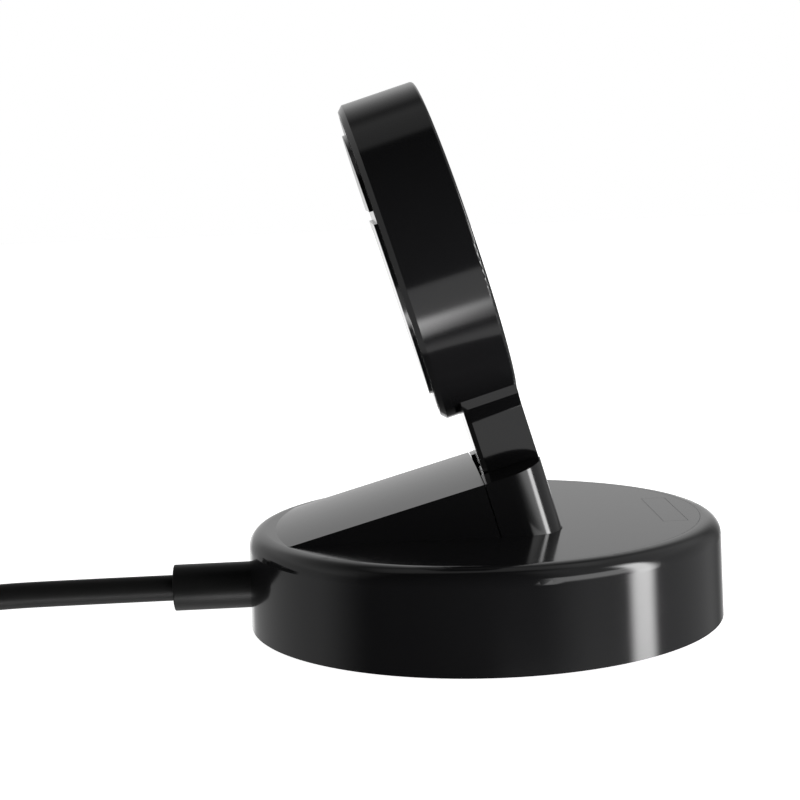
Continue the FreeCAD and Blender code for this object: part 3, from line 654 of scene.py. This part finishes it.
class STAND_OT_coil_strap(bpy.types.Operator):
    """The woven strap that ties the put-away coil"""
    bl_idname = "stand.coil_strap"
    bl_label = "Coil strap"

    def execute(self, context):
        sizes = context.scene.piece_sizes
        thick = sizes.strap
        low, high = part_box("cable_tie")
        length, middle_y = high.y - low.y, (low.y + high.y) / 2
        width = context.scene.cord_sizes.diameter * context.scene.cord_sizes.columns
        middle_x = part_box("cable_coil")[1].x - width / 2
        strap = primitive("cube", "coil_strap", size=1, scale=(width + 2 * thick, length, high.z - 2 * thick),
                          location=(middle_x, middle_y, high.z / 2))
        edit(strap, "FACE", lambda face: abs(face.normal.y) > 0.9)
        bpy.ops.mesh.delete(type="FACE")
        leave_edit()
        edit(strap, "EDGE", lambda edge: abs(along(strap, edge).y) > 0.9)
        bpy.ops.mesh.bevel(offset=sizes.strap_corner, segments=6)
        leave_edit()
        edit(strap, "FACE")
        bpy.ops.mesh.normals_make_consistent(inside=False)
        leave_edit()
        add_modifier(strap, "SOLIDIFY", thickness=thick, offset=0.0)
        # The free end lies on top, a little narrower than the strap and partly sunk into it.
        tab = primitive("cube", "strap_tab", size=1, scale=(width * 0.62, length * 0.96, thick),
                        location=(middle_x + width * 0.1, middle_y, high.z - thick * 0.25))
        edit(tab, "EDGE", lambda edge: abs(along(tab, edge).z) > 0.9)
        bpy.ops.mesh.bevel(offset=sizes.tab_corner, segments=5)
        leave_edit()
        strap.select_set(True)
        tab.select_set(True)
        context.view_layer.objects.active = strap
        bpy.ops.object.join()
        add_modifier(strap, "BEVEL", width=0.1 * MM, segments=2, limit_method="ANGLE")
        smooth(strap)
        deliver(strap, "tie_strap", "base", "cable_tie")
        return {"FINISHED"}


class STAND_OT_plug_body(bpy.types.Operator):
    """The moulded grip of the plug, with a tapered nose at the lead and finger grooves in its sides"""
    bl_idname = "stand.plug_body"
    bl_label = "Plug body"

    def execute(self, context):
        sizes = context.scene.piece_sizes
        low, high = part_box("plug_grip")
        size, centre = high - low, (low + high) / 2
        body, shoulder, nose = size.y * 0.8, size.y * 0.08, size.y * 0.12
        pivot = (centre.x, low.y, centre.z)
        grip = primitive("cube", "plug_body", size=1, scale=(size.x, body, size.z),
                         location=(centre.x, high.y - body / 2, centre.z))
        edit(grip, "EDGE", lambda edge: abs(along(grip, edge).y) > 0.9)
        bpy.ops.mesh.bevel(offset=sizes.grip_corner, segments=8)
        leave_edit()
        edit(grip, "FACE", lambda face: face.normal.y < -0.9)
        for reach, narrow, lower in ((shoulder, 0.8, 0.85), (nose, 0.58, 0.78)):
            bpy.ops.mesh.extrude_region_move(TRANSFORM_OT_translate={"value": (0, -reach, 0)})
            bpy.ops.transform.resize(value=(narrow, 1, lower), center_override=pivot)
        leave_edit()
        first = low.y + size.y * 0.34
        for step in range(sizes.ribs):
            for side in (0, sizes.rib_width):
                edit(grip, "FACE")
                bpy.ops.mesh.bisect(plane_co=(centre.x, first + step * sizes.rib_pitch + side, centre.z),
                                    plane_no=(0, 1, 0))
                leave_edit()

        def in_groove(face):
            step, past = divmod(middle(grip, face).y - first, sizes.rib_pitch)
            return 0 <= step < sizes.ribs and past < sizes.rib_width and abs(face.normal.x) > 0.6

        edit(grip, "FACE", in_groove)
        bpy.ops.mesh.extrude_region_shrink_fatten(TRANSFORM_OT_shrink_fatten={"value": -sizes.rib})
        leave_edit()
        add_modifier(grip, "BEVEL", width=0.18 * MM, segments=3, limit_method="ANGLE",
                     angle_limit=math.radians(35))
        smooth(grip)
        deliver(grip, "matte_black", "base", "plug_grip")
        return {"FINISHED"}


# ---------------------------------------------------------------- finishes


class STAND_OT_finishes(bpy.types.Operator):
    """Gives every piece kept from the frame the material of its slot"""
    bl_idname = "stand.finishes"
    bl_label = "Finishes"

    def execute(self, context):
        slots = {row["node"]: row["material_slot"] for row in frame["record"]["subparts"]}
        for name, piece in frame["nodes"].items():
            piece.data.materials.clear()
            piece.data.materials.append(finish_for(slots[name]))
        return {"FINISHED"}


# ---------------------------------------------------------------- panel and registration

STEPS = (STAND_OT_stage, STAND_OT_collar, STAND_OT_coil_strap, STAND_OT_plug_body, STAND_OT_cord,
         STAND_OT_finishes)


class STAND_PT_panel(bpy.types.Panel):
    """One button for each step and every size and colour"""
    bl_idname = "STAND_PT_panel"
    bl_label = "Watch stand"
    bl_space_type = "VIEW_3D"
    bl_region_type = "UI"
    bl_category = "Stand"

    def draw(self, context):
        for step in STEPS:
            self.layout.operator(step.bl_idname)
        for name in GROUPS:
            group = getattr(context.scene, name)
            for prop in group.__annotations__:
                self.layout.prop(group, prop)


GROUPS = {"stage_sizes": StageSizes, "cord_sizes": CordSizes, "piece_sizes": PieceSizes,
          "finish_colours": FinishColours}


def register():
    for cls in (*GROUPS.values(), *STEPS, STAND_PT_panel):
        bpy.utils.register_class(cls)
    for name, cls in GROUPS.items():
        setattr(bpy.types.Scene, name, bpy.props.PointerProperty(type=cls))


def unregister():
    for name in GROUPS:
        delattr(bpy.types.Scene, name)
    for cls in (STAND_PT_panel, *STEPS, *GROUPS.values()):
        bpy.utils.unregister_class(cls)


def main():
    """Makes everything in order."""
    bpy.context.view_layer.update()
    register()
    bpy.ops.stand.stage()
    bpy.ops.stand.collar()
    bpy.ops.stand.coil_strap()
    bpy.ops.stand.plug_body()
    bpy.ops.stand.cord()
    bpy.ops.stand.finishes()


if __name__ == "__main__":
    main()
